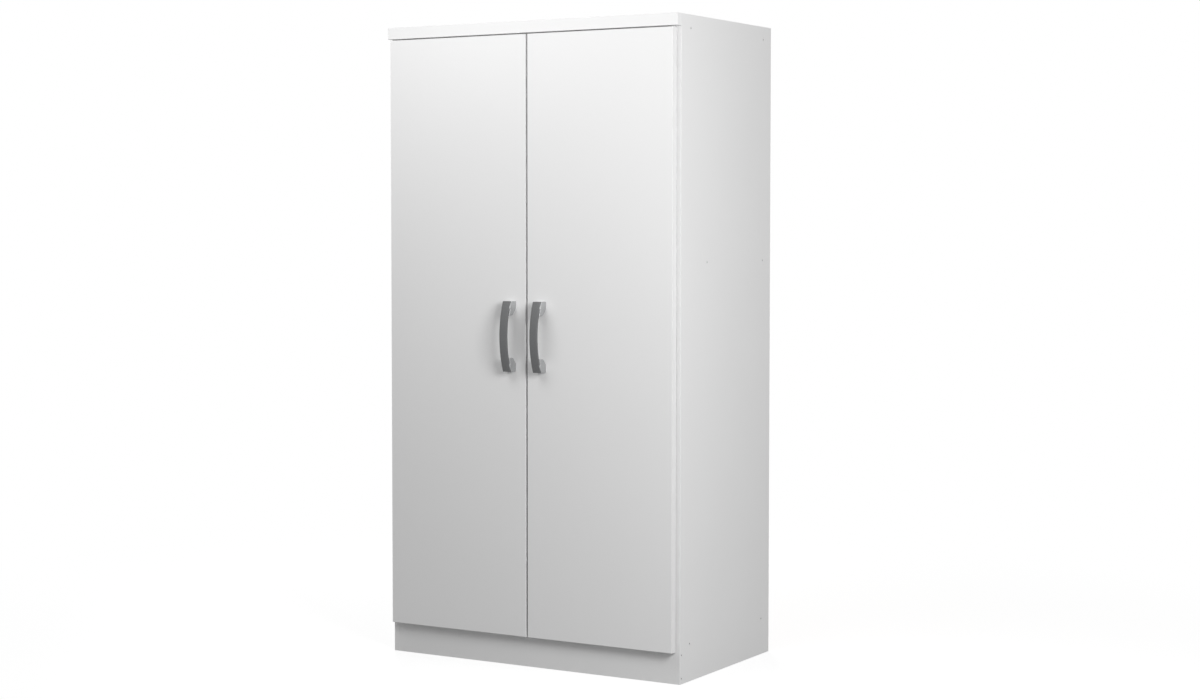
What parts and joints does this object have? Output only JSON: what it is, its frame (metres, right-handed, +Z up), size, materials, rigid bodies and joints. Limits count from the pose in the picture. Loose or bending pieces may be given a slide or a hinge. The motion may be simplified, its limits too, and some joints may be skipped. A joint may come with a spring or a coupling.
{
  "type": "wardrobe with doors",
  "caption": "Tall white wardrobe with hinged flat doors, dark bow handles, cornice strip, plinth, inner shelf and hanging rail.",
  "frame": {"origin": "on the floor, in the middle of the outline seen from above, handles included", "axes": "+Z up, the doors face -Y, +X to the right of someone who faces the doors"},
  "size_m": [0.94, 0.616, 1.8],
  "materials": {
    "white_melamine": "white melamine face on particle board, fine pearl grain, satin",
    "white_lacquer": "white wrapped fibreboard, smooth satin",
    "white_hardboard": "thin hardboard, white lacquered face",
    "white_plastic": "extruded white plastic",
    "handle_graphite": "graphite grey lacquer, satin",
    "handle_silver": "satin silver plated casting",
    "nickel_steel": "nickel plated pressed steel",
    "zinc_steel": "bright zinc plated steel",
    "white_screw": "white lacquered head, bare steel socket and shank",
    "chrome_tube": "chrome plated steel tube",
    "chrome_casting": "chrome plated casting",
    "beech": "fluted beech, raw",
    "clear_bumper": "translucent soft polymer"
  },
  "bodies": {
    "carcass": {"back_joint_strip": "white_plastic", "back_panel_left": "white_hardboard", "back_panel_nails": "zinc_steel", "back_panel_right": "white_hardboard", "bottom_panel": "white_melamine", "cornice_bracket_screws": "zinc_steel", "cornice_brackets": "zinc_steel", "cornice_dowels": "beech", "cornice_strip": "white_lacquer", "fixed_shelf": "white_melamine", "hanging_rail": "chrome_tube", "left_carcass_screws": "white_screw", "left_hinge_arm_lower": "nickel_steel", "left_hinge_arm_middle": "nickel_steel", "left_hinge_arm_screws": "zinc_steel", "left_hinge_arm_upper": "nickel_steel", "left_hinge_plate_lower": "nickel_steel", "left_hinge_plate_middle": "nickel_steel", "left_hinge_plate_screws": "zinc_steel", "left_hinge_plate_upper": "nickel_steel", "left_rail_socket": "chrome_casting", "left_side_panel": "white_melamine", "plinth": "white_melamine", "rail_socket_screws": "zinc_steel", "right_carcass_screws": "white_screw", "right_hinge_arm_lower": "nickel_steel", "right_hinge_arm_middle": "nickel_steel", "right_hinge_arm_screws": "zinc_steel", "right_hinge_arm_upper": "nickel_steel", "right_hinge_plate_lower": "nickel_steel", "right_hinge_plate_middle": "nickel_steel", "right_hinge_plate_screws": "zinc_steel", "right_hinge_plate_upper": "nickel_steel", "right_rail_socket": "chrome_casting", "right_side_panel": "white_melamine", "top_panel": "white_melamine"},
    "left_door": {"left_door_bumpers": "clear_bumper", "left_door_panel": "white_lacquer", "left_handle_base": "handle_silver", "left_handle_face": "handle_graphite", "left_handle_screws": "zinc_steel", "left_hinge_cup_lower": "nickel_steel", "left_hinge_cup_middle": "nickel_steel", "left_hinge_cup_screws": "zinc_steel", "left_hinge_cup_upper": "nickel_steel", "left_hinge_pins": "nickel_steel"},
    "right_door": {"right_door_bumpers": "clear_bumper", "right_door_panel": "white_lacquer", "right_handle_base": "handle_silver", "right_handle_face": "handle_graphite", "right_handle_screws": "zinc_steel", "right_hinge_cup_lower": "nickel_steel", "right_hinge_cup_middle": "nickel_steel", "right_hinge_cup_screws": "zinc_steel", "right_hinge_cup_upper": "nickel_steel", "right_hinge_pins": "nickel_steel"}
  },
  "joints": [
    {"name": "left_door_hinge", "type": "hinge", "parent": "carcass", "child": "left_door", "pos_m": [-0.4505, -0.249, 0.9255], "axis": [0, 0, -1], "range_deg": [0, 95]},
    {"name": "right_door_hinge", "type": "hinge", "parent": "carcass", "child": "right_door", "pos_m": [0.4505, -0.249, 0.9255], "axis": [0, 0, 1], "range_deg": [0, 95]}
  ]
}
